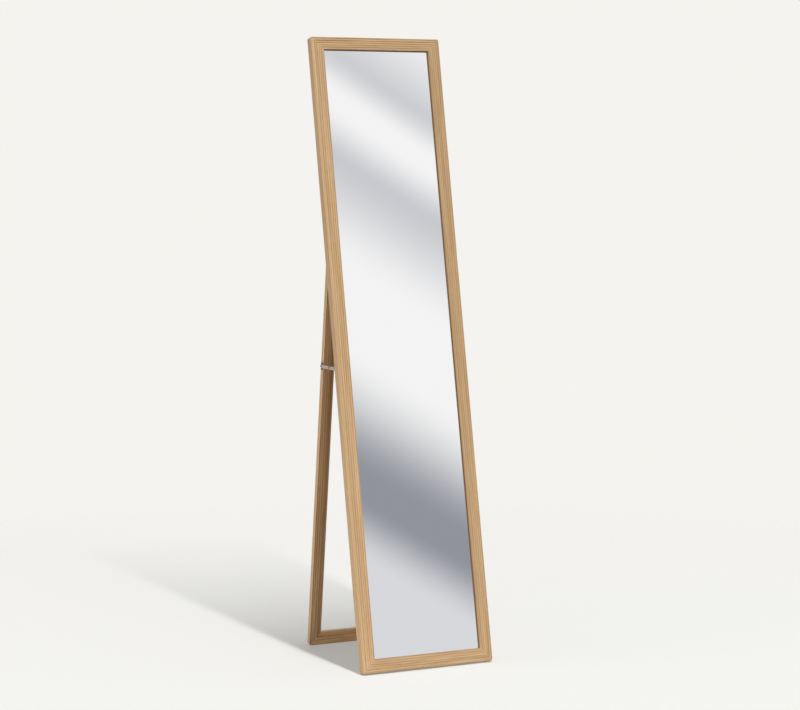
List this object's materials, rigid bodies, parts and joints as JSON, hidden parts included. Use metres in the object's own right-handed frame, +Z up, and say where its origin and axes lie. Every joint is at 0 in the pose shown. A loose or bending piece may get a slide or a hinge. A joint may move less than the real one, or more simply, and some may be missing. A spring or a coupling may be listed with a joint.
{
  "type": "floor mirror",
  "caption": "Full-length floor mirror in a mitred wooden frame that leans back on a hinged rear leg frame, held open by folding metal stays and folding flat for storage.",
  "frame": {"origin": "on the floor, under the middle of the whole object's width and depth, with the leg open", "axes": "+Z up, +X to the viewer's right, the mirror faces -Y and leans back towards +Y, the leg stands behind it at +Y"},
  "size_m": [0.348, 0.378, 1.5232],
  "materials": {
    "oak_moulding": "straight-grained light oak, matt lacquer",
    "mirror_glass": "silvered float glass",
    "hardboard": "smooth-faced brown hardboard",
    "zinc_steel": "zinc-plated pressed steel",
    "screw_steel": "dull plated wood screws"
  },
  "bodies": {
    "frame": {"left_stile": "oak_moulding", "right_stile": "oak_moulding", "bottom_rail": "oak_moulding", "top_rail": "oak_moulding", "mirror_pane": "mirror_glass", "back_board": "hardboard", "glazing_points": "zinc_steel", "frame_corner_nails": "zinc_steel", "hinge_left_frame_leaf": "zinc_steel", "hinge_right_frame_leaf": "zinc_steel", "hinge_left_pin": "zinc_steel", "hinge_right_pin": "zinc_steel", "hinge_frame_screws": "screw_steel", "stay_left_frame_bracket": "zinc_steel", "stay_right_frame_bracket": "zinc_steel", "stay_left_frame_rivet": "zinc_steel", "stay_right_frame_rivet": "zinc_steel", "stay_frame_screws": "screw_steel"},
    "leg": {"leg_left_post": "oak_moulding", "leg_right_post": "oak_moulding", "leg_bottom_rail": "oak_moulding", "leg_corner_nails": "zinc_steel", "hinge_left_leg_leaf": "zinc_steel", "hinge_right_leg_leaf": "zinc_steel", "hinge_leg_screws": "screw_steel", "stay_left_leg_plate": "zinc_steel", "stay_right_leg_plate": "zinc_steel", "stay_left_leg_rivet": "zinc_steel", "stay_right_leg_rivet": "zinc_steel", "stay_leg_screws": "screw_steel"},
    "left_front_link": {"stay_left_front_link": "zinc_steel", "stay_left_middle_rivet": "zinc_steel"},
    "left_rear_link": {"stay_left_rear_link": "zinc_steel"},
    "right_front_link": {"stay_right_front_link": "zinc_steel", "stay_right_middle_rivet": "zinc_steel"},
    "right_rear_link": {"stay_right_rear_link": "zinc_steel"}
  },
  "joints": [
    {"name": "leg_fold", "type": "hinge", "parent": "frame", "child": "leg", "pos_m": [0, 0.0376, 1.00622], "axis": [-1, 0, 0], "range_deg": [0, 18.85]},
    {"name": "stay_left_front_swing", "type": "hinge", "parent": "frame", "child": "left_front_link", "pos_m": [-0.16315, -0.01659, 0.71774], "axis": [1, 0, 0], "range_deg": [0, 74.97]},
    {"name": "stay_left_rear_swing", "type": "hinge", "parent": "leg", "child": "left_rear_link", "pos_m": [-0.16145, 0.08716, 0.71671], "axis": [-1, 0, 0], "range_deg": [0, 77.77]},
    {"name": "stay_right_front_swing", "type": "hinge", "parent": "frame", "child": "right_front_link", "pos_m": [0.16315, -0.01659, 0.71774], "axis": [1, 0, 0], "range_deg": [0, 74.97]},
    {"name": "stay_right_rear_swing", "type": "hinge", "parent": "leg", "child": "right_rear_link", "pos_m": [0.16145, 0.08716, 0.71671], "axis": [-1, 0, 0], "range_deg": [0, 77.77]}
  ],
  "couplings": [
    {"joint": "stay_left_front_swing", "follows": "leg_fold", "ratio": 3.9744},
    {"joint": "stay_left_rear_swing", "follows": "leg_fold", "ratio": 4.1231},
    {"joint": "stay_right_front_swing", "follows": "leg_fold", "ratio": 3.9744},
    {"joint": "stay_right_rear_swing", "follows": "leg_fold", "ratio": 4.1231}
  ]
}
